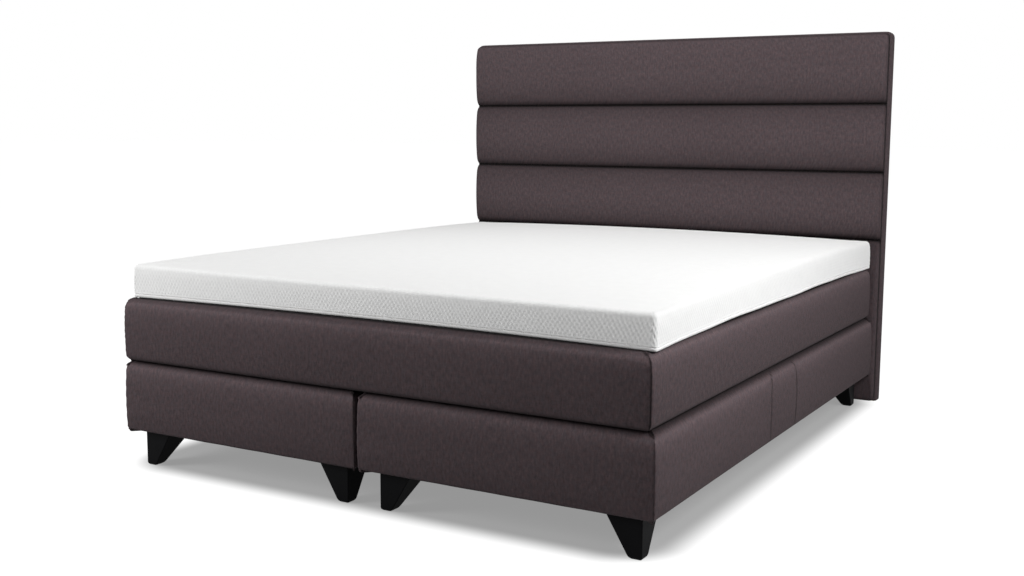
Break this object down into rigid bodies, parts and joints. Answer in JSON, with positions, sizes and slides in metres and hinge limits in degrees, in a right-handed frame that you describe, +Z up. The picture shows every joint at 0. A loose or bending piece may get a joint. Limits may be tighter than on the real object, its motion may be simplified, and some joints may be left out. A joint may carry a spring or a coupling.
{
  "type": "box spring bed",
  "caption": "Box spring bed: upholstered boxes on wedge legs linked side by side, a pocket spring mattress, a topper and a channelled headboard",
  "frame": {"origin": "on the floor, under the middle of the bed's overall footprint", "axes": "+Z up, +Y towards the head end, +X to the right as seen from the foot end"},
  "size_m": [1.828, 2.196, 1.427],
  "materials": {
    "upholstery": "matte",
    "black_cloth": "matte",
    "knit": "matte",
    "pine": "satin",
    "plywood": "matte",
    "pocket_fleece": "matte",
    "foam": "matte",
    "black_plastic": "satin",
    "steel": "satin"
  },
  "bodies": {
    "base": {"left_box_cover": "upholstery", "right_box_cover": "upholstery", "left_box_dust_cloth": "black_cloth", "right_box_dust_cloth": "black_cloth", "left_box_foot_rail": "pine", "left_box_head_rail": "pine", "left_box_slatted_frame": "pine", "right_box_foot_rail": "pine", "right_box_head_rail": "pine", "right_box_slatted_frame": "pine", "left_box_spring_core": "pocket_fleece", "right_box_spring_core": "pocket_fleece", "left_box_foam_pad": "foam", "right_box_foam_pad": "foam", "left_foot_outer_leg": "black_plastic", "left_foot_inner_leg": "black_plastic", "left_head_outer_leg": "black_plastic", "left_head_inner_leg": "black_plastic", "right_foot_outer_leg": "black_plastic", "right_foot_inner_leg": "black_plastic", "right_head_outer_leg": "black_plastic", "right_head_inner_leg": "black_plastic", "left_foot_outer_leg_bolt": "steel", "left_foot_inner_leg_bolt": "steel", "left_head_outer_leg_bolt": "steel", "left_head_inner_leg_bolt": "steel", "right_foot_outer_leg_bolt": "steel", "right_foot_inner_leg_bolt": "steel", "right_head_outer_leg_bolt": "steel", "right_head_inner_leg_bolt": "steel", "box_link_foot": "steel", "box_link_head": "steel", "headboard_top_channel": "upholstery", "headboard_middle_channel": "upholstery", "headboard_lower_channel": "upholstery", "headboard_plain_panel": "upholstery", "headboard_left_stile": "pine", "headboard_right_stile": "pine", "headboard_top_rail": "pine", "headboard_middle_rail": "pine", "headboard_bolt_rail": "pine", "headboard_front_board": "plywood", "headboard_side_cover": "upholstery", "headboard_back_cloth": "black_cloth", "headboard_left_glide": "black_plastic", "headboard_right_glide": "black_plastic", "headboard_left_outer_bolt": "steel", "headboard_left_inner_bolt": "steel", "headboard_right_inner_bolt": "steel", "headboard_right_outer_bolt": "steel"},
    "mattress": {"mattress_cover": "upholstery", "mattress_base_panel": "black_cloth", "mattress_edge_foam": "foam", "mattress_spring_core": "pocket_fleece", "mattress_top_foam": "foam", "mattress_base_foam": "foam"},
    "topper": {"topper_cover": "knit", "topper_base_cover": "knit", "topper_zip_tape": "knit", "topper_core": "foam"}
  },
  "joints": [
    {"name": "mattress_lift", "type": "slide", "parent": "base", "child": "mattress", "axis": [0, 0, 1], "range_m": [0, 0.4]},
    {"name": "topper_lift", "type": "slide", "parent": "mattress", "child": "topper", "axis": [0, 0, 1], "range_m": [0, 0.3]}
  ]
}
